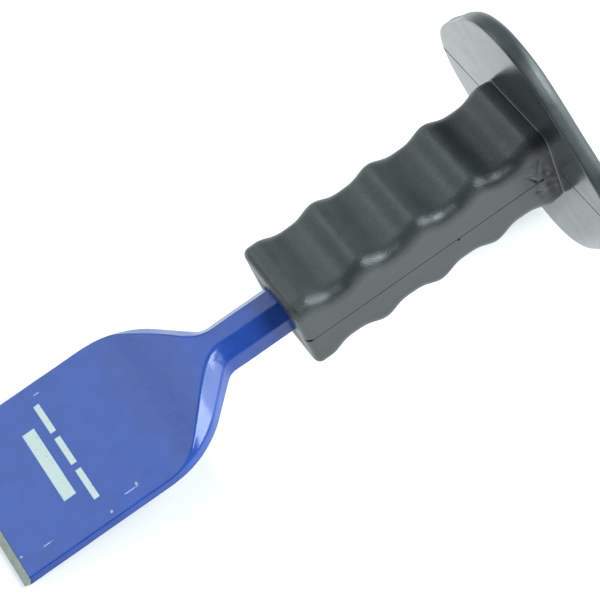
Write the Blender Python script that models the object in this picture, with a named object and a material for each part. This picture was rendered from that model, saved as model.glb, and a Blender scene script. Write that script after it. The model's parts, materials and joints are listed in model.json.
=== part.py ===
"""Brick bolster: a wide-bladed cold chisel with a moulded hand-guard grip.

Two pieces, as on the real tool: a one-piece steel forging (blade, neck, octagonal
shank and struck head) and a one-piece soft PVC grip with its guard, pushed over the
struck end.  Metres, +Z up.  Both are drawn along the tool's own axis, X, from the
cutting edge to the struck head, with the blade's front face towards +Z, under an empty
that lays the tool on a bench: it touches at the back of the blade and at the guard's rim.
"""
import math

import bmesh
import bpy
from mathutils import Matrix, Vector

# Forging, measured along the tool from the cutting edge
TOOL_LENGTH = 0.208
BLADE_WIDTH = 0.057
BLADE_THICKNESS = 0.0034
FRONT_BEVEL = 0.0025        # length of the ground bevel on the front face
BACK_BEVEL = 0.0016         # and of the smaller one on the back
EDGE_OFFSET = -0.0004       # the cutting edge lies behind the blade's middle plane
EDGE_LAND = 0.0002          # width left flat along the cutting edge
SHANK_ACROSS_FLATS = 0.0143
EDGE_BREAK = 0.0003         # small chamfer along the blade's long edges
HEAD_CHAMFER = 0.0018       # chamfer round the struck face
HEAD_CHAMFER_LENGTH = 0.0026

# The fishtail: each outline leaves the blade on a convex arc, runs straight down a
# flank and meets the shank in a concave arc: (start, convex radius, turn, concave radius)
OUTLINE_FISHTAIL = (0.0500, 0.031, math.radians(47.0), 0.005)
FACE_FISHTAIL = (0.0516, 0.016, math.radians(48.0), 0.012)
SWELL = (0.052, 0.077)      # the thickness grows to the shank's between these places
SIDE_SWELL = (0.052, 0.088)     # and the height of the upright sides between these
FISHTAIL_STEP = 0.0015

# Grip sleeve
GRIP_START = 0.1063
GRIP_WIDTH = 0.0322         # across the two flat sides
GRIP_DEPTH_FRONT = 0.0312   # over the finger crests at the front end
GRIP_DEPTH_REAR = 0.0328    # over the finger crests beside the guard
GRIP_CORNER = 0.0052        # radius between the grooved faces and the flat sides
GRIP_END_ROUND = 0.0022
GROOVE_COUNT = 4
GROOVE_PITCH = 0.0202
GROOVE_DEPTH = 0.0030
CREST_SHARPNESS = 1.8       # above 1, the crests are narrower than the valleys
FIRST_CREST = 0.1112
GROOVE_STEPS = 8            # rings in each groove
BORE_CLEARANCE = 0.0003
BORE_LEAD = 0.0008          # countersink at both ends of the bore

# Guard, moulded in one with the sleeve: a round plate pulled out to four soft corners
GUARD_FACE = 0.1963         # its face towards the blade
GUARD_THICKNESS = 0.0060
GUARD_RADIUS_WIDE = 0.0431  # mean radius towards the blade's long edges
GUARD_RADIUS_DEEP = 0.0454  # and towards its front and back faces
GUARD_CORNERS = 0.068       # how far the four corners stand out, as a share of the radius
GUARD_EDGE = 0.0005         # edge break on the side towards the blade
GUARD_ROUND = 0.0030        # rounding on the side towards the head
ROOT_FILLET = 0.0016
COLLAR_RADIUS = 0.0130      # raised ring round the struck head
COLLAR_HEIGHT = 0.0020
RING_POINTS = 48

PAINT_BLUE = (0.055, 0.095, 0.42, 1.0)
PVC_BLACK = (0.028, 0.031, 0.033, 1.0)


def clear_scene():
    for item in list(bpy.data.objects):
        bpy.data.objects.remove(item, do_unlink=True)


def material(name, colour, metallic, roughness):
    made = bpy.data.materials.new(name)
    made.use_nodes = True
    shader = made.node_tree.nodes["Principled BSDF"]
    shader.inputs["Base Color"].default_value = colour
    shader.inputs["Metallic"].default_value = metallic
    shader.inputs["Roughness"].default_value = roughness
    return made


def smoothstep(value, start, end):
    share = min(max((value - start) / (end - start), 0.0), 1.0)
    return share * share * (3.0 - 2.0 * share)


def mix(first, second, share):
    return first + (second - first) * share


def object_from_rings(name, rings, closed, finish, parent):
    """Skins equal rings of points into one closed body; open lofts get flat ends."""
    mesh = bmesh.new()
    loops = [[mesh.verts.new(point) for point in ring] for ring in rings]
    pairs = list(zip(loops, loops[1:]))
    if closed:
        pairs.append((loops[-1], loops[0]))
    for low, high in pairs:
        for index in range(len(low)):
            after = (index + 1) % len(low)
            mesh.faces.new((low[index], low[after], high[after], high[index]))
    if not closed:
        mesh.faces.new(loops[0])
        mesh.faces.new(loops[-1])
    bmesh.ops.recalc_face_normals(mesh, faces=mesh.faces)
    data = bpy.data.meshes.new(name)
    mesh.to_mesh(data)
    mesh.free()
    data.shade_smooth()
    data.set_sharp_from_angle(angle=math.radians(30.0))
    data.materials.append(finish)
    made = bpy.data.objects.new(name, data)
    bpy.context.collection.objects.link(made)
    made.parent = parent
    return made


# ---- the forging ---------------------------------------------------------------

def fishtail(along, wide, narrow, shape):
    """Half width at a place along the tool, on an outline that narrows to the shank."""
    start, convex, turn, concave = shape
    arc_end = start + convex * math.sin(turn)
    arc_half = wide - convex * (1.0 - math.cos(turn))
    fillet_half = narrow + concave * (1.0 - math.cos(turn))
    fillet_start = arc_end + (arc_half - fillet_half) / math.tan(turn)
    fillet_end = fillet_start + concave * math.sin(turn)
    if along <= start:
        return wide
    if along <= arc_end:
        return wide - convex + math.sqrt(convex ** 2 - (along - start) ** 2)
    if along <= fillet_start:
        return arc_half - (along - arc_end) * math.tan(turn)
    if along <= fillet_end:
        return narrow + concave - math.sqrt(concave ** 2 - (fillet_end - along) ** 2)
    return narrow


def forging_section(along):
    """Half width, half width of the face, half thickness and half height of the side."""
    half_shank = SHANK_ACROSS_FLATS / 2.0
    half_flat = half_shank * math.tan(math.pi / 8.0)
    half_blade = BLADE_THICKNESS / 2.0
    half = fishtail(along, BLADE_WIDTH / 2.0, half_shank, OUTLINE_FISHTAIL)
    face = fishtail(along, BLADE_WIDTH / 2.0 - EDGE_BREAK, half_flat, FACE_FISHTAIL)
    thick = mix(half_blade, half_shank, smoothstep(along, *SWELL))
    side = mix(half_blade - EDGE_BREAK, half_flat, smoothstep(along, *SIDE_SWELL))
    return half, min(face, half - EDGE_BREAK), thick, side


def eight_points(along_front, along_back, half, face, top, bottom, side_top, side_bottom):
    """One eight-sided ring; its front half may stand further along than its back half."""
    front = [(half, side_top), (face, top), (-face, top), (-half, side_top)]
    back = [(-half, side_bottom), (-face, bottom), (face, bottom), (half, side_bottom)]
    ring = [Vector((along_front, across, height)) for across, height in front]
    return ring + [Vector((along_back, across, height)) for across, height in back]


def forging_ring(along, along_back=None):
    half, face, thick, side = forging_section(along)
    back = along if along_back is None else along_back
    return eight_points(along, back, half, face, thick, -thick, side, -side)


def cutting_edge_ring():
    half, face, _, _ = forging_section(0.0)
    land = EDGE_LAND / 2.0
    top, bottom = EDGE_OFFSET + land, EDGE_OFFSET - land
    return eight_points(0.0, 0.0, half, face, top, bottom,
                        EDGE_OFFSET + land / 2.0, EDGE_OFFSET - land / 2.0)


def head_ring():
    half_shank = SHANK_ACROSS_FLATS / 2.0
    shrink = (half_shank - HEAD_CHAMFER) / half_shank
    half, face, thick, side = (value * shrink for value in forging_section(TOOL_LENGTH))
    return eight_points(TOOL_LENGTH, TOOL_LENGTH, half, face, thick, -thick, side, -side)


def forging(parent):
    start = OUTLINE_FISHTAIL[0]
    steps = round((SIDE_SWELL[1] - start) / FISHTAIL_STEP)
    stations = [start / 3.0, start * 2.0 / 3.0]
    stations += [start + FISHTAIL_STEP * step for step in range(steps + 1)]
    stations += [GRIP_START, GUARD_FACE, TOOL_LENGTH - HEAD_CHAMFER_LENGTH]
    rings = [cutting_edge_ring(), forging_ring(FRONT_BEVEL, BACK_BEVEL)]
    rings += [forging_ring(along) for along in stations]
    rings.append(head_ring())
    paint = material("blue_paint", PAINT_BLUE, 0.0, 0.35)
    return object_from_rings("chisel_forging", rings, False, paint, parent)


# ---- the grip ------------------------------------------------------------------

def ring_angles():
    return [2.0 * math.pi * index / RING_POINTS for index in range(RING_POINTS)]


def ring_at(along, radius_of):
    """A ring of points about the tool's axis, its radius a function of the angle."""
    points = []
    for angle in ring_angles():
        radius = radius_of(angle)
        points.append(Vector((along, radius * math.cos(angle), radius * math.sin(angle))))
    return points


def octagon_radius(angle, across_flats):
    eighth = math.pi / 4.0
    from_flat = (angle + eighth / 2.0) % eighth - eighth / 2.0
    return across_flats / 2.0 / math.cos(from_flat)


def rounded_box_radius(angle, half_width, half_depth, corner):
    """Distance from the axis to a rectangle with rounded corners."""
    across, up = abs(math.cos(angle)), abs(math.sin(angle))
    side = half_width / across if across > 1e-9 else math.inf
    top = half_depth / up if up > 1e-9 else math.inf
    reach = min(side, top)
    centre_across, centre_up = half_width - corner, half_depth - corner
    if reach * across <= centre_across or reach * up <= centre_up:
        return reach
    along = across * centre_across + up * centre_up
    offset = centre_across ** 2 + centre_up ** 2 - corner ** 2
    return along + math.sqrt(along ** 2 - offset)


def guard_radius(angle):
    mean = math.hypot(GUARD_RADIUS_WIDE * math.cos(angle), GUARD_RADIUS_DEEP * math.sin(angle))
    return mean * (1.0 + GUARD_CORNERS * math.cos(4.0 * angle))


def groove_end():
    return FIRST_CREST + GROOVE_COUNT * GROOVE_PITCH


def grip_half_depth(along):
    """Half the sleeve's depth: a slow taper with the finger grooves cut into it."""
    taper = (along - GRIP_START) / (GUARD_FACE - GRIP_START)
    crest = mix(GRIP_DEPTH_FRONT, GRIP_DEPTH_REAR, taper) / 2.0
    if along <= FIRST_CREST or along >= groove_end():
        return crest
    wave = (1.0 + math.cos(2.0 * math.pi * (along - FIRST_CREST) / GROOVE_PITCH)) / 2.0
    return crest - GROOVE_DEPTH * (1.0 - wave ** CREST_SHARPNESS)


def sleeve_ring(along, inset=0.0):
    half_width = GRIP_WIDTH / 2.0 - inset
    half_depth = grip_half_depth(along) - inset
    corner = GRIP_CORNER - inset
    return ring_at(along, lambda angle: rounded_box_radius(angle, half_width, half_depth, corner))


def sleeve_rings():
    tip = GRIP_START + GRIP_END_ROUND
    soften = GRIP_END_ROUND * (1.0 - math.sqrt(0.5))
    rings = [sleeve_ring(GRIP_START, GRIP_END_ROUND), sleeve_ring(GRIP_START + soften, soften)]
    rings.append(sleeve_ring(tip))
    step = GROOVE_PITCH / GROOVE_STEPS
    rings += [sleeve_ring(FIRST_CREST + step * index)
              for index in range(GROOVE_COUNT * GROOVE_STEPS + 1)]
    rings.append(sleeve_ring(GUARD_FACE - ROOT_FILLET))
    rings.append(sleeve_ring(GUARD_FACE - ROOT_FILLET * (1.0 - math.sqrt(0.5)),
                             -ROOT_FILLET * (1.0 - math.sqrt(0.5))))
    rings.append(sleeve_ring(GUARD_FACE, -ROOT_FILLET))
    return rings


def guard_ring(along, inset):
    return ring_at(along, lambda angle: guard_radius(angle) - inset)


def guard_rings():
    top = GUARD_FACE + GUARD_THICKNESS
    rings = [guard_ring(GUARD_FACE, GUARD_EDGE), guard_ring(GUARD_FACE + GUARD_EDGE, 0.0)]
    for quarter in (0.0, 1.0 / 3.0, 2.0 / 3.0, 1.0):
        turn = quarter * math.pi / 2.0
        rise = GUARD_ROUND * math.sin(turn)
        inset = GUARD_ROUND * (1.0 - math.cos(turn))
        rings.append(guard_ring(top - GUARD_ROUND + rise, inset))
    rings.append(ring_at(top, lambda angle: COLLAR_RADIUS + COLLAR_HEIGHT))
    rings.append(ring_at(top + COLLAR_HEIGHT, lambda angle: COLLAR_RADIUS))
    return rings


def bore_rings():
    bore = SHANK_ACROSS_FLATS + 2.0 * BORE_CLEARANCE
    mouth = bore + 2.0 * BORE_LEAD
    rear = GUARD_FACE + GUARD_THICKNESS + COLLAR_HEIGHT
    return [ring_at(rear, lambda angle: octagon_radius(angle, mouth)),
            ring_at(rear - BORE_LEAD, lambda angle: octagon_radius(angle, bore)),
            ring_at(GRIP_START + BORE_LEAD, lambda angle: octagon_radius(angle, bore)),
            ring_at(GRIP_START, lambda angle: octagon_radius(angle, mouth))]


def grip(parent):
    rings = sleeve_rings() + guard_rings() + bore_rings()
    pvc = material("black_pvc", PVC_BLACK, 0.0, 0.45)
    return object_from_rings("hand_guard_grip", rings, True, pvc, parent)


# ---- laid on the bench ---------------------------------------------------------

def lying_angle():
    """Tilt that brings the back of the blade and the guard's lowest corner to one level."""
    blade_foot = Vector((BACK_BEVEL, BLADE_THICKNESS / 2.0))
    guard_foot = Vector((GUARD_FACE + GUARD_EDGE, guard_radius(math.pi / 2.0)))
    return math.atan2(guard_foot.y - blade_foot.y, guard_foot.x - blade_foot.x)


def lay_on_bench(empty, pieces):
    """Tilts the tool and centres its box on the origin, with its lowest point at z = 0."""
    tilt = Matrix.Rotation(-lying_angle(), 4, "Y")
    corners = [tilt @ vertex.co for piece in pieces for vertex in piece.data.vertices]
    lowest = [min(corner[axis] for corner in corners) for axis in range(3)]
    highest = [max(corner[axis] for corner in corners) for axis in range(3)]
    middle = [(low + high) / 2.0 for low, high in zip(lowest, highest)]
    empty.rotation_euler = (0.0, -lying_angle(), 0.0)
    empty.location = (-middle[0], -middle[1], -lowest[2])


def main():
    clear_scene()
    tool = bpy.data.objects.new("tool_axis", None)
    bpy.context.collection.objects.link(tool)
    pieces = [forging(tool), grip(tool)]
    lay_on_bench(tool, pieces)


main()
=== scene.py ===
"""Looks of the brick bolster: a painted forging with ground edge, and a moulded PVC grip.

Both pieces are fine meshes built in the tool's own coordinates, metres along X from the
cutting edge to the struck head, with the blade's front face towards +Z.  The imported
record's mounts give the place and tilt of those coordinates in the frame.
"""
import json
import math

import bpy
from mathutils import Matrix, Vector, noise


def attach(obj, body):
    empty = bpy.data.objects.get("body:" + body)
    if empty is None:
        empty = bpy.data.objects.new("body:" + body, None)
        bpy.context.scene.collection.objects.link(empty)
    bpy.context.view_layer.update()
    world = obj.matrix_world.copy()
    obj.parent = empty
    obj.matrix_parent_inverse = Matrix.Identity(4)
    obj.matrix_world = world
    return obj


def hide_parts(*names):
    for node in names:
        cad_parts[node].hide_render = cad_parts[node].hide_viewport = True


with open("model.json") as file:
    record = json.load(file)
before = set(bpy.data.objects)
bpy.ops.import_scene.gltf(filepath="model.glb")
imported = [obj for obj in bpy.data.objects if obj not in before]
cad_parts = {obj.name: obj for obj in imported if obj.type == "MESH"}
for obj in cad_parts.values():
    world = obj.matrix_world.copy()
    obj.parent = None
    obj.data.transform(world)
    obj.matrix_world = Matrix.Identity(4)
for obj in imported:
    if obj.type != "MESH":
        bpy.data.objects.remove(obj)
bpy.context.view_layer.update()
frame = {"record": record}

# Forging
TOOL_LENGTH = 0.208
BLADE_WIDTH = 0.057
BLADE_THICKNESS = 0.0034
FRONT_BEVEL = 0.0025
BACK_BEVEL = 0.0016
EDGE_OFFSET = -0.0004
EDGE_LAND = 0.0002
SHANK_ACROSS_FLATS = 0.0143
EDGE_BREAK = 0.0003
HEAD_CHAMFER = 0.0018
HEAD_CHAMFER_LENGTH = 0.0026
OUTLINE_FISHTAIL = (0.0500, 0.031, math.radians(47.0), 0.005)
FACE_FISHTAIL = (0.0516, 0.016, math.radians(48.0), 0.012)
SWELL = (0.052, 0.077)
SIDE_SWELL = (0.052, 0.088)

# Grip and guard
GRIP_START = 0.1063
GRIP_WIDTH = 0.0322
GRIP_DEPTH_FRONT = 0.0312
GRIP_DEPTH_REAR = 0.0328
GRIP_CORNER = 0.0052
GRIP_END_ROUND = 0.0022
GROOVE_COUNT = 4
GROOVE_PITCH = 0.0202
GROOVE_DEPTH = 0.0030
CREST_SHARPNESS = 1.8
FIRST_CREST = 0.1112
BORE_CLEARANCE = 0.0003
BORE_LEAD = 0.0008
GUARD_FACE = 0.1963
GUARD_THICKNESS = 0.0060
GUARD_RADIUS_WIDE = 0.0431
GUARD_RADIUS_DEEP = 0.0454
GUARD_CORNERS = 0.068
GUARD_EDGE = 0.0005
GUARD_ROUND = 0.0030
ROOT_FILLET = 0.0005
ROOT_FALL = 0.0007           # from the last crest down to the guard
COLLAR_RADIUS = 0.0130
COLLAR_HEIGHT = 0.0020
RING_POINTS = 360

SEAM_RISE = 0.00010         # the mould's parting line stands this proud
SEAM_WIDTH = 0.00022


# ---- where the tool lies -------------------------------------------------------

def tool_placement():
    """The tool's own coordinates in the frame, from the struck face and the blade's front."""
    mounts = {mount["name"]: mount for mount in frame["record"]["mounts"]}
    along = Vector(mounts["struck_face"]["axis"])
    up = Vector(mounts["blade_front"]["axis"])
    across = up.cross(along)
    origin = Vector(mounts["struck_face"]["pos_m"]) - along * TOOL_LENGTH
    turn = Matrix((along, across, up)).transposed().to_4x4()
    return Matrix.Translation(origin) @ turn


def smoothstep(value, start, end):
    share = min(max((value - start) / (end - start), 0.0), 1.0)
    return share * share * (3.0 - 2.0 * share)


def mix(first, second, share):
    return first + (second - first) * share


def steps_between(start, end, count):
    """Evenly spaced values from start to just short of end."""
    return [mix(start, end, step / count) for step in range(count)]


def object_from_rings(name, rings, closed, materials, pick=None):
    """Skins equal rings of points; pick says which material a face takes."""
    size = len(rings[0])
    points = [tuple(point) for ring in rings for point in ring]
    pairs = [(index, index + 1) for index in range(len(rings) - 1)]
    if closed:
        pairs.append((len(rings) - 1, 0))
    faces = []
    slots = []
    for low, high in pairs:
        for index in range(size):
            after = (index + 1) % size
            faces.append((low * size + index, low * size + after,
                          high * size + after, high * size + index))
            slots.append(pick(low, index) if pick else 0)
    if not closed:
        faces.append(tuple(reversed(range(size))))
        faces.append(tuple(range(len(points) - size, len(points))))
        slots += [pick(0, 0) if pick else 0, 0]
    data = bpy.data.meshes.new(name)
    data.from_pydata(points, [], faces)
    for finish in materials:
        data.materials.append(finish)
    data.polygons.foreach_set("material_index", slots)
    data.validate()
    data.shade_smooth()
    made = bpy.data.objects.new(name, data)
    bpy.context.scene.collection.objects.link(made)
    return made


def roughen(piece, height_at):
    """Moves each point along its normal by the height that height_at gives for its place."""
    data = piece.data
    normals = [vertex.normal.copy() for vertex in data.vertices]
    for vertex, normal in zip(data.vertices, normals):
        vertex.co += normal * height_at(vertex.co)
    data.update()


# ---- the forging's shape -------------------------------------------------------

def fishtail(along, wide, narrow, shape):
    """Half width at a place along the tool, on an outline that narrows to the shank."""
    start, convex, turn, concave = shape
    arc_end = start + convex * math.sin(turn)
    arc_half = wide - convex * (1.0 - math.cos(turn))
    fillet_half = narrow + concave * (1.0 - math.cos(turn))
    fillet_start = arc_end + (arc_half - fillet_half) / math.tan(turn)
    fillet_end = fillet_start + concave * math.sin(turn)
    if along <= start:
        return wide
    if along <= arc_end:
        return wide - convex + math.sqrt(convex ** 2 - (along - start) ** 2)
    if along <= fillet_start:
        return arc_half - (along - arc_end) * math.tan(turn)
    if along <= fillet_end:
        return narrow + concave - math.sqrt(concave ** 2 - (fillet_end - along) ** 2)
    return narrow


def forging_section(along):
    """Half width, half width of the face, half thickness and half height of the side."""
    half_shank = SHANK_ACROSS_FLATS / 2.0
    half_flat = half_shank * math.tan(math.pi / 8.0)
    half_blade = BLADE_THICKNESS / 2.0
    half = fishtail(along, BLADE_WIDTH / 2.0, half_shank, OUTLINE_FISHTAIL)
    face = fishtail(along, BLADE_WIDTH / 2.0 - EDGE_BREAK, half_flat, FACE_FISHTAIL)
    thick = mix(half_blade, half_shank, smoothstep(along, *SWELL))
    side = mix(half_blade - EDGE_BREAK, half_flat, smoothstep(along, *SIDE_SWELL))
    return half, min(face, half - EDGE_BREAK), thick, side


def corners_of(half, face, top, bottom, side_top, side_bottom):
    """The eight corners of a section across the tool, as (across, up)."""
    return [Vector(corner) for corner in (
        (half, side_top), (face, top), (-face, top), (-half, side_top),
        (-half, side_bottom), (-face, bottom), (face, bottom), (half, side_bottom))]


CORNER_STEPS = 6
FACE_STEPS = 44             # the wide front and back
FACET_STEPS = 8
SIDE_STEPS = 4
FLAT_STEPS = (FACET_STEPS, FACE_STEPS, FACET_STEPS, SIDE_STEPS,
              FACET_STEPS, FACE_STEPS, FACET_STEPS, SIDE_STEPS)


def rounded_section(corners, face_radius, side_radius):
    """The section's outline with rounded corners and evenly divided flats."""
    arcs = []
    for index, corner in enumerate(corners):
        before = corners[index - 1] - corner
        after = corners[(index + 1) % len(corners)] - corner
        turn = math.pi - before.angle(after)
        radius = face_radius if index in (1, 2, 5, 6) else side_radius
        reach = radius * math.tan(turn / 2.0)
        start = corner + before.normalized() * min(reach, before.length * 0.42)
        end = corner + after.normalized() * min(reach, after.length * 0.42)
        arc = []
        for step in range(CORNER_STEPS + 1):
            share = step / CORNER_STEPS
            arc.append(start.lerp(corner, share).lerp(corner.lerp(end, share), share))
        arcs.append(arc)
    outline = []
    for index, arc in enumerate(arcs):
        following = arcs[(index + 1) % len(arcs)][0]
        outline += arc
        count = FLAT_STEPS[index]
        outline += [arc[-1].lerp(following, step / count) for step in range(1, count)]
    return outline


def edge_radii(along):
    """Rounding of the edges beside the faces, and of those beside the upright sides."""
    neck = smoothstep(along, 0.054, 0.070)
    shank = smoothstep(along, 0.080, 0.090)
    face_radius = mix(mix(0.00035, 0.0026, neck), 0.0010, shank)
    side_radius = mix(mix(0.00035, 0.0016, neck), 0.0010, shank)
    return face_radius, side_radius


def forging_ring(along):
    half, face, thick, side = forging_section(along)
    outline = rounded_section(corners_of(half, face, thick, -thick, side, -side),
                              *edge_radii(along))
    return [Vector((along, point.x, point.y)) for point in outline]


def bevel_ring(share):
    """A ring of the ground edge: share 0 is the cutting edge, 1 where the bevels end."""
    half, face, thick, side = forging_section(0.0)
    land = EDGE_LAND / 2.0
    edge = corners_of(half, face, EDGE_OFFSET + land, EDGE_OFFSET - land,
                      EDGE_OFFSET + land / 2.0, EDGE_OFFSET - land / 2.0)
    body = corners_of(half, face, thick, -thick, side, -side)
    low = rounded_section(edge, EDGE_LAND / 4.0, EDGE_LAND / 4.0)
    high = rounded_section(body, *edge_radii(0.0))
    ring = []
    for first, last in zip(low, high):
        reach = mix(BACK_BEVEL, FRONT_BEVEL, smoothstep(last.y, -side, side))
        point = first.lerp(last, share)
        ring.append(Vector((reach * share, point.x, point.y)))
    return ring


def head_ring(along, shrink):
    half, face, thick, side = (value * shrink for value in forging_section(TOOL_LENGTH))
    outline = rounded_section(corners_of(half, face, thick, -thick, side, -side), 0.0008, 0.0008)
    return [Vector((along, point.x, point.y)) for point in outline]


def forging_rings():
    """Rings from the cutting edge to the struck face; the first ones are the bevels'."""
    rings = [bevel_ring(share) for share in (0.0, 0.35, 0.7, 1.0)]
    stations = steps_between(FRONT_BEVEL + 0.0006, OUTLINE_FISHTAIL[0], 42)
    stations += steps_between(OUTLINE_FISHTAIL[0], 0.090, 90)
    stations += steps_between(0.090, GRIP_START + 0.004, 18)
    stations += steps_between(GRIP_START + 0.004, TOOL_LENGTH - HEAD_CHAMFER_LENGTH, 24)
    rings += [forging_ring(along) for along in stations]
    shrink = 1.0 - HEAD_CHAMFER / (SHANK_ACROSS_FLATS / 2.0)
    start = TOOL_LENGTH - HEAD_CHAMFER_LENGTH
    rings.append(head_ring(start, 1.0))
    for share in (0.05, 0.3, 0.7, 0.95):
        rings.append(head_ring(mix(start, TOOL_LENGTH, share), mix(1.0, shrink, share)))
    for share in (1.0, 0.94, 0.6, 0.3, 0.05):
        rings.append(head_ring(TOOL_LENGTH, shrink * share))
    return rings


BEVEL_RINGS = 3


def forging_height(place):
    """The slow waves and fine pitting that hammering and paint leave on the forging."""
    clear = smoothstep(place.x, 0.004, 0.010) * (1.0 - smoothstep(place.x, 0.100, 0.106))
    slow = noise.noise(place * 95.0) * 0.00006
    middle = noise.noise(place * 300.0) * 0.000014
    return (slow + middle) * clear


def forging():
    paint, steel = blue_paint(), ground_steel()

    def pick(ring, index):
        return 1 if ring < BEVEL_RINGS else 0

    made = object_from_rings("painted_forging", forging_rings(), False, (paint, steel), pick)
    roughen(made, forging_height)
    made.data.set_sharp_from_angle(angle=math.radians(24.0))
    return made


# ---- the grip's shape ----------------------------------------------------------

def ring_at(along, radius_of, seam=SEAM_RISE):
    """A ring about the tool's axis; the points in its middle plane carry the parting line."""
    points = []
    for index in range(RING_POINTS):
        angle = 2.0 * math.pi * index / RING_POINTS
        radius = radius_of(angle)
        across, up = radius * math.cos(angle), radius * math.sin(angle)
        near = abs((index + 2) % (RING_POINTS // 2) - 2)
        if near == 1:
            up = math.copysign(SEAM_WIDTH, up)
        if near == 0:
            across += math.copysign(seam, across)
        points.append(Vector((along, across, up)))
    return points


def octagon_radius(angle, across_flats):
    eighth = math.pi / 4.0
    from_flat = (angle + eighth / 2.0) % eighth - eighth / 2.0
    return across_flats / 2.0 / math.cos(from_flat)


def rounded_box_radius(angle, half_width, half_depth, corner):
    """Distance from the axis to a rectangle with rounded corners."""
    across, up = abs(math.cos(angle)), abs(math.sin(angle))
    side = half_width / across if across > 1e-9 else math.inf
    top = half_depth / up if up > 1e-9 else math.inf
    reach = min(side, top)
    centre_across, centre_up = half_width - corner, half_depth - corner
    if reach * across <= centre_across or reach * up <= centre_up:
        return reach
    along = across * centre_across + up * centre_up
    offset = centre_across ** 2 + centre_up ** 2 - corner ** 2
    return along + math.sqrt(along ** 2 - offset)


def guard_radius(angle):
    mean = math.hypot(GUARD_RADIUS_WIDE * math.cos(angle), GUARD_RADIUS_DEEP * math.sin(angle))
    return mean * (1.0 + GUARD_CORNERS * math.cos(4.0 * angle))


def grip_half_depth(along):
    """Half the sleeve's depth: a slow taper with the finger grooves cut into it."""
    taper = (along - GRIP_START) / (GUARD_FACE - GRIP_START)
    crest = mix(GRIP_DEPTH_FRONT, GRIP_DEPTH_REAR, taper) / 2.0
    last_crest = FIRST_CREST + GROOVE_COUNT * GROOVE_PITCH
    if along <= FIRST_CREST:
        return crest
    if along >= last_crest:
        return crest - ROOT_FALL * ((along - last_crest) / (GUARD_FACE - last_crest)) ** 1.5
    wave = (1.0 + math.cos(2.0 * math.pi * (along - FIRST_CREST) / GROOVE_PITCH)) / 2.0
    return crest - GROOVE_DEPTH * (1.0 - wave ** CREST_SHARPNESS)


def sleeve_ring(along, inset=0.0, seam=SEAM_RISE):
    half_width = GRIP_WIDTH / 2.0 - inset
    half_depth = grip_half_depth(along) - inset
    corner = max(GRIP_CORNER - inset, 0.0005)
    return ring_at(along,
                   lambda angle: rounded_box_radius(angle, half_width, half_depth, corner), seam)


def quarter_turn(steps):
    """(sine, 1 - cosine) round a quarter circle."""
    turns = [math.pi / 2.0 * step / steps for step in range(steps + 1)]
    return [(math.sin(turn), 1.0 - math.cos(turn)) for turn in turns]


def sleeve_rings():
    rings = []
    for sine, versine in quarter_turn(7):
        rings.append(sleeve_ring(GRIP_START + GRIP_END_ROUND * versine,
                                 GRIP_END_ROUND * (1.0 - sine)))
    start = GRIP_START + GRIP_END_ROUND
    rings += [sleeve_ring(along) for along in steps_between(start, 0.184, 118)[1:]]
    rings += [sleeve_ring(along) for along in steps_between(0.184, GUARD_FACE - ROOT_FILLET, 38)]
    for sine, versine in quarter_turn(8):
        rings.append(sleeve_ring(GUARD_FACE - ROOT_FILLET * (1.0 - sine), -ROOT_FILLET * versine))
    return rings


def guard_ring(along, inset, seam=SEAM_RISE):
    return ring_at(along, lambda angle: guard_radius(angle) - inset, seam)


def underside_rings(count):
    """Rings across the guard's face towards the blade, from the sleeve's root to its rim."""
    rings = []
    half_width = GRIP_WIDTH / 2.0 + ROOT_FILLET
    half_depth = grip_half_depth(GUARD_FACE) + ROOT_FILLET
    corner = GRIP_CORNER + ROOT_FILLET
    for step in range(1, count + 1):
        share = step / count

        def radius_of(angle):
            inner = rounded_box_radius(angle, half_width, half_depth, corner)
            return mix(inner, guard_radius(angle) - GUARD_EDGE, share)

        ring = ring_at(GUARD_FACE, radius_of, 0.0)
        for point in ring:
            if abs(point.z) < SEAM_WIDTH / 2.0:
                point.x -= SEAM_RISE
        rings.append(ring)
    return rings


def guard_rings():
    top = GUARD_FACE + GUARD_THICKNESS
    rings = underside_rings(30)
    for sine, versine in quarter_turn(3)[1:]:
        rings.append(guard_ring(GUARD_FACE + GUARD_EDGE * versine, GUARD_EDGE * (1.0 - sine)))
    wall = GUARD_THICKNESS - GUARD_EDGE - GUARD_ROUND
    rings += [guard_ring(GUARD_FACE + GUARD_EDGE + wall * share, 0.0) for share in (0.5, 1.0)]
    for sine, versine in quarter_turn(9)[1:]:
        rings.append(guard_ring(top - GUARD_ROUND * (1.0 - sine), GUARD_ROUND * versine))
    for step in range(1, 16):
        share = step / 16.0

        def radius_of(angle):
            return mix(guard_radius(angle) - GUARD_ROUND, COLLAR_RADIUS + COLLAR_HEIGHT, share)

        rings.append(ring_at(top, radius_of, 0.0))
    for sine, versine in quarter_turn(6):
        foot = COLLAR_RADIUS + COLLAR_HEIGHT * (1.0 - sine)
        rings.append(ring_at(top + COLLAR_HEIGHT * 0.5 * versine, lambda angle: foot, 0.0))
    for sine, versine in quarter_turn(6)[1:]:
        inner = COLLAR_RADIUS - COLLAR_HEIGHT * 0.5 * versine
        rings.append(ring_at(top + COLLAR_HEIGHT * 0.5 * (1.0 + sine), lambda angle: inner, 0.0))
    return rings


def bore_rings():
    bore = SHANK_ACROSS_FLATS + 2.0 * BORE_CLEARANCE
    mouth = bore + 2.0 * BORE_LEAD
    rear = GUARD_FACE + GUARD_THICKNESS + COLLAR_HEIGHT
    ends = ((rear, mouth), (rear - BORE_LEAD, bore), (GRIP_START + BORE_LEAD, bore),
            (GRIP_START, mouth))
    return [ring_at(along, lambda angle: octagon_radius(angle, across), 0.0)
            for along, across in ends]


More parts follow.
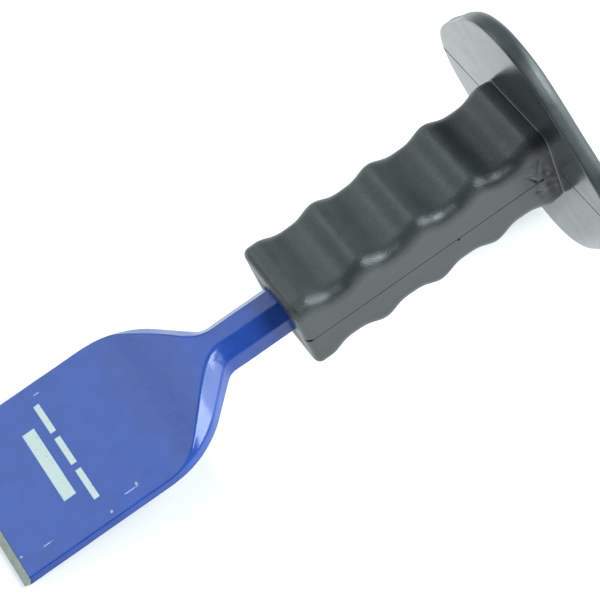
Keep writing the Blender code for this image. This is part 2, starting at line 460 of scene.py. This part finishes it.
# Creases on the sleeve's flat side, near the guard: (start, end, depth, width)
CREASES = (
    ((0.1878, 0.0040), (0.1893, 0.0012), 0.00018, 0.00042),
    ((0.1893, 0.0012), (0.1914, 0.0002), 0.00022, 0.00048),
    ((0.1914, 0.0002), (0.1930, 0.0012), 0.00016, 0.00042),
    ((0.1885, -0.0036), (0.1902, -0.0046), 0.00012, 0.00038),
    ((0.1862, 0.0062), (0.1884, 0.0050), 0.00008, 0.00040),
    ((0.1905, 0.0052), (0.1922, 0.0094), 0.00010, 0.00044),
)


def distance_to(place, start, end):
    """Distance in the flat side's plane from a place to a short line."""
    start, end = Vector(start), Vector(end)
    run = end - start
    share = min(max((place - start).dot(run) / run.length_squared, 0.0), 1.0)
    return (place - start - run * share).length


def grip_height(place):
    """Shrinkage waves all over, and the creases on the flat side."""
    if math.hypot(place.y, place.z) < 0.0100:
        return 0.0
    height = noise.noise(place * 120.0) * 0.00005
    on_sleeve = place.x < GUARD_FACE - ROOT_FILLET
    if on_sleeve and place.y < -GRIP_WIDTH / 2.0 + 0.0006 and abs(place.z) < 0.011:
        spot = Vector((place.x, place.z))
        for start, end, depth, width in CREASES:
            height -= depth * math.exp(-(distance_to(spot, start, end) / width) ** 2)
        near_root = smoothstep(place.x, 0.184, 0.191)
        near_root *= 1.0 - smoothstep(abs(place.z), 0.006, 0.011)
        height += near_root * noise.noise(place * 420.0) * 0.00016
    return height


def grip():
    rings = sleeve_rings() + guard_rings() + bore_rings()
    made = object_from_rings("moulded_grip", rings, True, (black_pvc(),))
    roughen(made, grip_height)
    made.data.set_sharp_from_angle(angle=math.radians(50.0))
    return made


# ---- materials -----------------------------------------------------------------

PAINT_DEEP = (0.012, 0.046, 0.252, 1.0)
PAINT_LIGHT = (0.017, 0.058, 0.300, 1.0)
BARE_STEEL = (0.330, 0.360, 0.320, 1.0)
OXIDE = (0.20, 0.23, 0.20, 1.0)
GRINDING_LINES = (0.52, 0.55, 0.52, 1.0)
WHITE_INK = (0.44, 0.50, 0.48, 1.0)
CHIPPED = (0.60, 0.66, 0.70, 1.0)
BEVEL_SHADOW = (0.01, 0.02, 0.09, 1.0)      # painted shadow on the paint beside the bevel
PVC_DARK = (0.018, 0.021, 0.022, 1.0)
PVC_LIGHT = (0.027, 0.031, 0.032, 1.0)
# Painted shade along the raised parting line.
SEAM_SHADE = (0.002, 0.002, 0.002, 1.0)
# Painted shade in the pinhole and the nick.
PIT_SHADE = (0.001, 0.001, 0.001, 1.0)


def new_material(name):
    """A material, its node tree and its Principled shader."""
    made = bpy.data.materials.new(name)
    made.use_nodes = True
    return made, made.node_tree, made.node_tree.nodes["Principled BSDF"]


def add(tree, kind, inputs=(), **settings):
    """A new node's first output; inputs are (socket, number or another node's output)."""
    made = tree.nodes.new(kind)
    for name, value in settings.items():
        setattr(made, name, value)
    for socket, value in inputs:
        if isinstance(value, bpy.types.NodeSocket):
            tree.links.new(value, made.inputs[socket])
        else:
            made.inputs[socket].default_value = value
    return made.outputs[0]


def own_coordinates(tree):
    """Places in the tool's own coordinates, in metres, on a piece that stands in the frame."""
    place = tree.nodes.new("ShaderNodeTexCoord").outputs["Object"]
    lying = tool_placement()
    return add(tree, "ShaderNodeMapping", (("Vector", place), ("Location", lying.translation),
               ("Rotation", lying.to_euler())), vector_type="TEXTURE")


def stretched(tree, place, scale):
    return add(tree, "ShaderNodeVectorMath", ((0, place), (1, scale)), operation="MULTIPLY")


def speckle(tree, place, size, detail=2.0, roughness=0.5):
    """Soft noise whose grains are about as large as size, in metres."""
    return add(tree, "ShaderNodeTexNoise", (("Vector", place), ("Scale", 1.0 / size),
                                            ("Detail", detail), ("Roughness", roughness)))


def ramp(tree, value, low, high, start=0.0, end=1.0):
    """Start below low, end above high, and a straight line between."""
    return add(tree, "ShaderNodeMapRange", (("Value", value), ("From Min", low),
               ("From Max", high), ("To Min", start), ("To Max", end)), clamp=True)


def compute(tree, operation, first, second):
    return add(tree, "ShaderNodeMath", ((0, first), (1, second)), operation=operation)


def blended(tree, share, first, second):
    """One colour over another, by share."""
    made = tree.nodes.new("ShaderNodeMix")
    made.data_type = "RGBA"
    for socket, value in ((0, share), (6, first), (7, second)):
        if isinstance(value, bpy.types.NodeSocket):
            tree.links.new(value, made.inputs[socket])
        else:
            made.inputs[socket].default_value = value
    return made.outputs[2]


def bumped(tree, height, distance, under=None):
    inputs = [("Height", height), ("Distance", distance)]
    if under is not None:
        inputs.append(("Normal", under))
    return add(tree, "ShaderNodeBump", inputs)


def split(tree, place):
    made = tree.nodes.new("ShaderNodeSeparateXYZ")
    tree.links.new(place, made.inputs[0])
    return made.outputs


def band(tree, value, low, high, soft):
    """1 between low and high, falling to 0 over soft on both sides."""
    rise = ramp(tree, value, low - soft, low)
    fall = ramp(tree, value, high, high + soft, 1.0, 0.0)
    return compute(tree, "MULTIPLY", rise, fall)


# Plain printed bars on the blade's front: (from, to) along the tool and across it
PRINTED_BARS = (
    ((0.0226, 0.0266), (-0.0135, 0.0140)),
    ((0.0300, 0.0318), (-0.0190, -0.0070)),
    ((0.0300, 0.0318), (-0.0045, 0.0065)),
    ((0.0300, 0.0318), (0.0090, 0.0205)),
)
# Chips and scuffs on the blade's front: (along, across, half length, half width)
SCUFFS = (
    (0.0037, -0.0210, 0.00045, 0.00045),
    (0.0322, -0.0259, 0.00050, 0.00055),
    (0.0400, -0.0236, 0.00280, 0.00022),
    (0.0425, -0.0228, 0.00050, 0.00060),
    (0.0118, -0.0224, 0.00200, 0.00020),
    (0.0330, 0.0240, 0.00120, 0.00020),
)
# A pinhole and a nick on the sleeve's flat side, darkened with painted shade: (along, up, half
# length, half width)
PVC_MARKS = (
    (0.1605, -0.0004, 0.00050, 0.00050),
    (0.1074, 0.0002, 0.00110, 0.00055),
)


def any_of(tree, masks):
    total = masks[0]
    for mask in masks[1:]:
        total = compute(tree, "MAXIMUM", total, mask)
    return total


def on_front(tree, z):
    """1 on the blade's front face and 0 on its back."""
    return ramp(tree, z, 0.0008, 0.0010)


def printed_mask(tree, x, y, z):
    """Where the white ink lies: plain bars."""
    bars = []
    for (start, end), (left, right) in PRINTED_BARS:
        bars.append(compute(tree, "MULTIPLY", band(tree, x, start, end, 0.0001),
                            band(tree, y, left, right, 0.0001)))
    return compute(tree, "MULTIPLY", any_of(tree, bars), on_front(tree, z))


def spots_mask(tree, x, sideways, spots, ragged):
    """Ragged spots; each is its place along the tool and sideways, then its half sizes."""
    masks = []
    for along, across, length, width in spots:
        dx = compute(tree, "DIVIDE", compute(tree, "SUBTRACT", x, along), length)
        ds = compute(tree, "DIVIDE", compute(tree, "SUBTRACT", sideways, across), width)
        squared = compute(tree, "ADD", compute(tree, "MULTIPLY", dx, dx),
                          compute(tree, "MULTIPLY", ds, ds))
        masks.append(ramp(tree, compute(tree, "ADD", squared, ragged), 1.0, 0.6))
    return any_of(tree, masks)


def blue_paint():
    """Glossy cobalt enamel over a rough forging, with printed bars and small chips."""
    made, tree, shader = new_material("blue_enamel")
    place = own_coordinates(tree)
    x, y, z = split(tree, place)
    cloud = speckle(tree, place, 0.007, 3.0, 0.5)
    ragged = ramp(tree, speckle(tree, place, 0.0006, 3.0, 0.7), 0.3, 0.7, -0.7, 0.9)
    colour = blended(tree, ramp(tree, cloud, 0.3, 0.7), PAINT_DEEP, PAINT_LIGHT)
    worn = ramp(tree, speckle(tree, place, 0.0007, 3.0, 0.7), 0.28, 0.37)
    ink = compute(tree, "MULTIPLY", printed_mask(tree, x, y, z), worn)
    colour = blended(tree, ink, colour, WHITE_INK)
    scuffs = compute(tree, "MULTIPLY", spots_mask(tree, x, y, SCUFFS, ragged), on_front(tree, z))
    colour = blended(tree, compute(tree, "MULTIPLY", scuffs, 0.5), colour, CHIPPED)
    # Painted shadow: a dark band on the paint along the ground bevel.
    bevel_shadow = band(tree, x, 0.0, FRONT_BEVEL + 0.00025, 0.0002)
    colour = blended(tree, compute(tree, "MULTIPLY", bevel_shadow, 0.6), colour, BEVEL_SHADOW)
    tree.links.new(colour, shader.inputs["Base Color"])
    tree.links.new(ramp(tree, cloud, 0.3, 0.7, 0.18, 0.24), shader.inputs["Roughness"])
    peel = bumped(tree, speckle(tree, place, 0.0013, 2.0), 0.000045)
    lumps = bumped(tree, speckle(tree, place, 0.0045, 2.0), 0.00011, peel)
    tree.links.new(lumps, shader.inputs["Normal"])
    shader.inputs["Specular IOR Level"].default_value = 0.31
    shader.inputs["Coat Weight"].default_value = 0.05
    shader.inputs["Coat Roughness"].default_value = 0.12
    return made


def ground_steel():
    """Bare steel, ground across the edge, with the first bloom of oxide."""
    made, tree, shader = new_material("ground_steel")
    place = own_coordinates(tree)
    lines = speckle(tree, stretched(tree, place, (0.12, 1.0, 0.12)), 0.00022, 2.0)
    bloom = speckle(tree, place, 0.0016, 4.0, 0.7)
    shade = blended(tree, ramp(tree, bloom, 0.35, 0.65), OXIDE, BARE_STEEL)
    shade = blended(tree, ramp(tree, lines, 0.35, 0.65, 0.0, 0.35), shade,
                    GRINDING_LINES)
    tree.links.new(shade, shader.inputs["Base Color"])
    tree.links.new(ramp(tree, bloom, 0.3, 0.7, 0.32, 0.5), shader.inputs["Roughness"])
    tree.links.new(bumped(tree, lines, 0.00002), shader.inputs["Normal"])
    shader.inputs["Metallic"].default_value = 0.85
    return made


def black_pvc():
    """Soft black PVC with the mould's fine texture, flow streaks and handling smears."""
    made, tree, shader = new_material("moulded_pvc")
    place = own_coordinates(tree)
    x, y, z = split(tree, place)
    grain = speckle(tree, place, 0.00042, 2.0, 0.6)
    grained = ramp(tree, compute(tree, "ABSOLUTE", z, 0.0), 0.0100, 0.0135, 0.3, 1.0)
    near_guard = ramp(tree, x, GUARD_FACE - 0.0013, GUARD_FACE - 0.0001, 1.0, 0.3)
    grained = compute(tree, "MULTIPLY", grained, near_guard)
    streaks = speckle(tree, stretched(tree, place, (0.25, 1.0, 1.0)), 0.004, 3.0, 0.6)
    smears = speckle(tree, place, 0.011, 3.0, 0.6)
    colour = blended(tree, ramp(tree, smears, 0.35, 0.65), PVC_DARK, PVC_LIGHT)
    # Painted shade: the parting line is darkened and its sheen dulled, for the raised seam's
    # shadow.
    seam = band(tree, z, -0.00012, 0.00012, 0.00010)
    colour = blended(tree, compute(tree, "MULTIPLY", seam, 0.8), colour, SEAM_SHADE)
    # Painted shade in the pinhole and the nick: near-black colour and no sheen there, for the
    # dark of the recesses.
    ragged = ramp(tree, speckle(tree, place, 0.0006, 3.0, 0.7), 0.3, 0.7, -0.3, 0.4)
    pit_shade = compute(tree, "MULTIPLY", spots_mask(tree, x, z, PVC_MARKS, ragged),
                    ramp(tree, y, -0.0130, -0.0136))
    colour = blended(tree, pit_shade, colour, PIT_SHADE)
    shut = compute(tree, "MAXIMUM", pit_shade, compute(tree, "MULTIPLY", seam, 0.55))
    tree.links.new(ramp(tree, shut, 0.0, 1.0, 0.5, 0.0), shader.inputs["Specular IOR Level"])
    tree.links.new(colour, shader.inputs["Base Color"])
    gloss = compute(tree, "ADD", ramp(tree, streaks, 0.3, 0.7, 0.0, 0.07),
                    ramp(tree, smears, 0.3, 0.7, 0.25, 0.33))
    underside = band(tree, x, GUARD_FACE - 0.0005, GUARD_FACE + 0.0003, 0.0006)
    gloss = compute(tree, "MULTIPLY", gloss, ramp(tree, underside, 0.0, 1.0, 1.15, 0.5))
    gloss = compute(tree, "ADD", gloss, compute(tree, "MULTIPLY", shut, 0.5))
    tree.links.new(gloss, shader.inputs["Roughness"])
    tree.links.new(bumped(tree, compute(tree, "MULTIPLY", grain, grained), 0.00015),
                   shader.inputs["Normal"])
    shader.inputs["IOR"].default_value = 1.52
    return made


# ---- stage, light and camera ---------------------------------------------------

AIM = (0.00603, -0.00106, 0.02681)
CAMERA_AZIMUTH = math.radians(25.517)
CAMERA_ELEVATION = math.radians(50.642)
CAMERA_ROLL = math.radians(6.576)
CAMERA_DISTANCE = 0.69505
CAMERA_LENS = 141.0
FLOOR_RADIUS = 4.0
NEAR_GLOW = 1.50             # painted light: the floor's glow on the viewer's side
FAR_GLOW = 0.85
# Painted shadow where the floor's glow is kept down under the tool: along it, across it, and the
# share kept
PAINTED_SHADOW_UNDER_TOOL = (
    ((0.020, 0.100), (0.012, 0.030), 0.50),
    ((-0.110, -0.040), (-0.032, 0.032), 0.50),
)
COOL = (0.86, 0.99, 1.02)    # the light's tint


def pale_floor():
    """A pale table that glows softly with painted light, as a sweep lit from all round does:
    brighter on the viewer's side, with painted shadow under the tool.
    """
    points = [(FLOOR_RADIUS * math.cos(math.tau * step / 64),
               FLOOR_RADIUS * math.sin(math.tau * step / 64), -0.0002) for step in range(64)]
    data = bpy.data.meshes.new("pale_floor")
    data.from_pydata(points, [], [tuple(range(64))])
    made = bpy.data.objects.new("pale_floor", data)
    bpy.context.scene.collection.objects.link(made)
    finish, tree, shader = new_material("pale_table")
    place = tree.nodes.new("ShaderNodeTexCoord").outputs["Object"]
    shader.inputs["Base Color"].default_value = (0.42, 0.385, 0.375, 1.0)
    shader.inputs["Roughness"].default_value = 0.9
    shader.inputs["Specular IOR Level"].default_value = 0.0
    shader.inputs["Emission Color"].default_value = (0.92, 1.0, 1.02, 1.0)
    x, y, _ = split(tree, place)
    # Painted light: the glow is brighter on the viewer's side than beyond the tool.
    painted_glow = ramp(tree, y, -0.15, 0.05, NEAR_GLOW, FAR_GLOW)
    # Painted shadow: the glow is dimmed in patches under the tool.
    for (start, end), (right, left), kept in PAINTED_SHADOW_UNDER_TOOL:
        under = compute(tree, "MULTIPLY", band(tree, x, start, end, 0.020),
                        band(tree, y, right, left, 0.012))
        painted_glow = compute(tree, "MULTIPLY", painted_glow, ramp(tree, under, 0.0, 1.0, 1.0, kept))
    tree.links.new(painted_glow, shader.inputs["Emission Strength"])
    data.materials.append(finish)


def studio_air():
    """Pale air all round, white at the horizon, dimmer overhead and on the viewer's side."""
    world = bpy.data.worlds.new("studio_air")
    bpy.context.scene.world = world
    world.use_nodes = True
    tree = world.node_tree
    direction = split(tree, tree.nodes.new("ShaderNodeTexCoord").outputs["Generated"])
    overhead = ramp(tree, direction[1], -0.5, 0.4, 0.20, 0.75)
    horizon = ramp(tree, direction[2], 0.02, 0.12, 1.0, 0.0)
    strength = compute(tree, "MAXIMUM", overhead, compute(tree, "MULTIPLY", horizon, 1.3))
    tree.nodes["Background"].inputs["Color"].default_value = (*COOL, 1.0)
    tree.links.new(strength, tree.nodes["Background"].inputs["Strength"])


def soft_box(name, direction, distance, size, radiance):
    """A soft box that shines on the tool from a direction."""
    data = bpy.data.lights.new(name, "AREA")
    data.shape = "RECTANGLE"
    data.size, data.size_y = size
    data.energy = radiance * math.pi * size[0] * size[1]
    data.color = COOL
    made = bpy.data.objects.new(name, data)
    away = Vector(direction).normalized()
    made.location = Vector(AIM) + away * distance
    made.rotation_mode = "QUATERNION"
    made.rotation_quaternion = away.to_track_quat("Z", "Y")
    bpy.context.scene.collection.objects.link(made)


def soft_boxes():
    soft_box("right_box", (0.84, -0.20, 0.50), 0.9, (0.60, 0.50), 8.0)
    soft_box("high_box", (0.45, -0.50, 0.74), 0.9, (0.42, 0.32), 20.0)
    soft_box("left_box", (-0.40, 0.62, 0.68), 1.0, (0.70, 0.60), 2.6)


def camera():
    data = bpy.data.cameras.new("camera")
    data.lens = CAMERA_LENS
    data.sensor_width = 36.0
    data.clip_start = 0.05
    made = bpy.data.objects.new("camera", data)
    flat = Vector((math.sin(CAMERA_AZIMUTH), math.cos(CAMERA_AZIMUTH), 0.0))
    forward = flat * math.cos(CAMERA_ELEVATION) - Vector((0.0, 0.0, math.sin(CAMERA_ELEVATION)))
    level = forward.cross(Vector((0.0, 0.0, 1.0))).normalized()
    upright = level.cross(forward)
    up = upright * math.cos(CAMERA_ROLL) + level * math.sin(CAMERA_ROLL)
    right = forward.cross(up)
    turn = Matrix((right, up, -forward)).transposed().to_4x4()
    made.matrix_world = Matrix.Translation(Vector(AIM) - forward * CAMERA_DISTANCE) @ turn
    bpy.context.scene.collection.objects.link(made)
    bpy.context.scene.camera = made


def stand_in_for(piece, node, body):
    """Places a piece where the tool lies and puts it in the frame for a CAD node."""
    piece.data.transform(tool_placement())
    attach(piece, body)
    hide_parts(node)


bpy.context.scene.view_settings.view_transform = "Standard"
camera()
soft_boxes()
studio_air()
pale_floor()
stand_in_for(forging(), "chisel_forging", "chisel")
stand_in_for(grip(), "hand_guard_grip", "grip")
